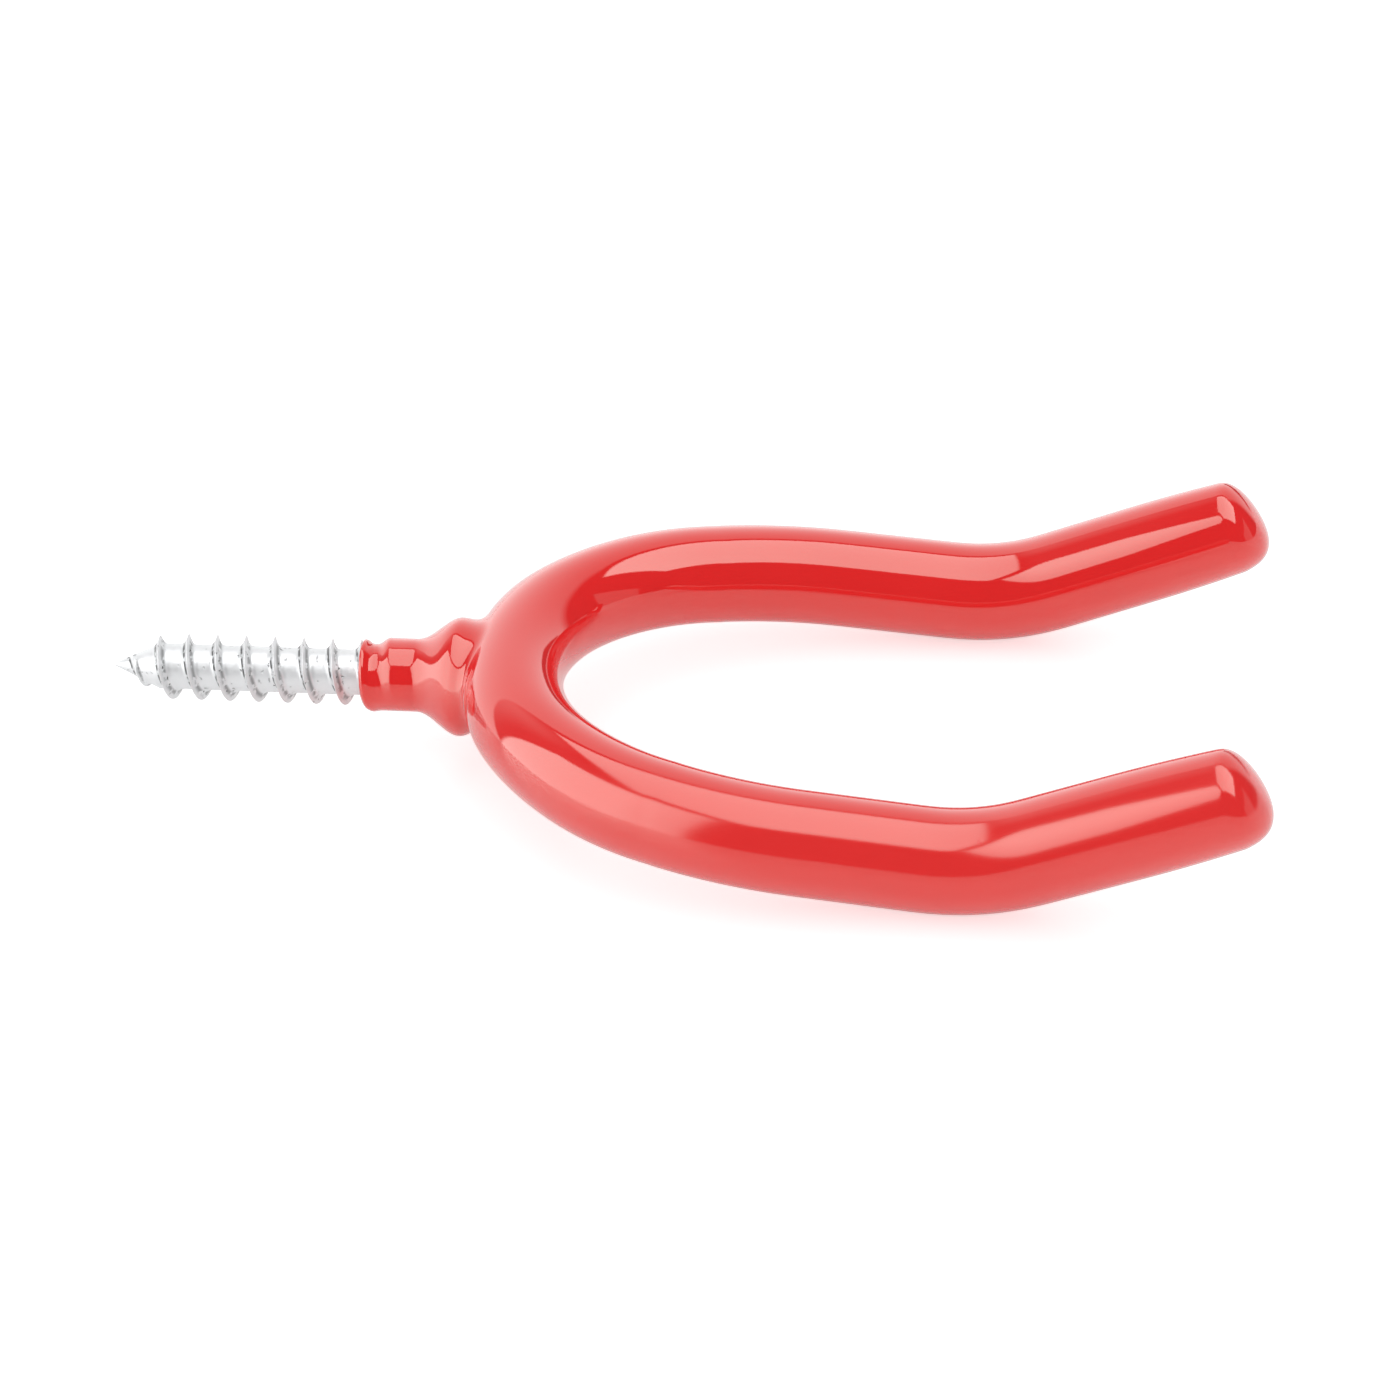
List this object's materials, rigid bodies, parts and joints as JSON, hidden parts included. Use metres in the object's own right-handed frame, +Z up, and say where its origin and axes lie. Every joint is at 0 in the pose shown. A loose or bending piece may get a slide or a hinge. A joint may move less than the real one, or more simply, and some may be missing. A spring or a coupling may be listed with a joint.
{
  "type": "storage hook",
  "caption": "Screw-in wall hook whose forked arms kick up at their ends, dipped in soft red vinyl, for hanging a bicycle or long-handled tools.",
  "frame": {"origin": "point on the screw's axis at the edge of the vinyl, where the hook stops against the wall", "axes": "+X out of the wall along the screw's axis towards the fork, +Z up with the arms' ends kicked up, the arms at +Y and -Y"},
  "size_m": [0.1113, 0.0584, 0.0172],
  "materials": {
    "zinc_plated_steel": "bright zinc plating, a little dull between the threads",
    "bare_steel": "drawn rod as cut and bent, hidden under the vinyl",
    "weld_steel": "as welded, hidden under the vinyl",
    "red_vinyl": "glossy soft vinyl from a hot dip"
  },
  "bodies": {
    "root": {"wood_screw": "zinc_plated_steel", "fork_rod": "bare_steel", "weld_bead": "weld_steel", "vinyl_coat": "red_vinyl"}
  },
  "joints": []
}
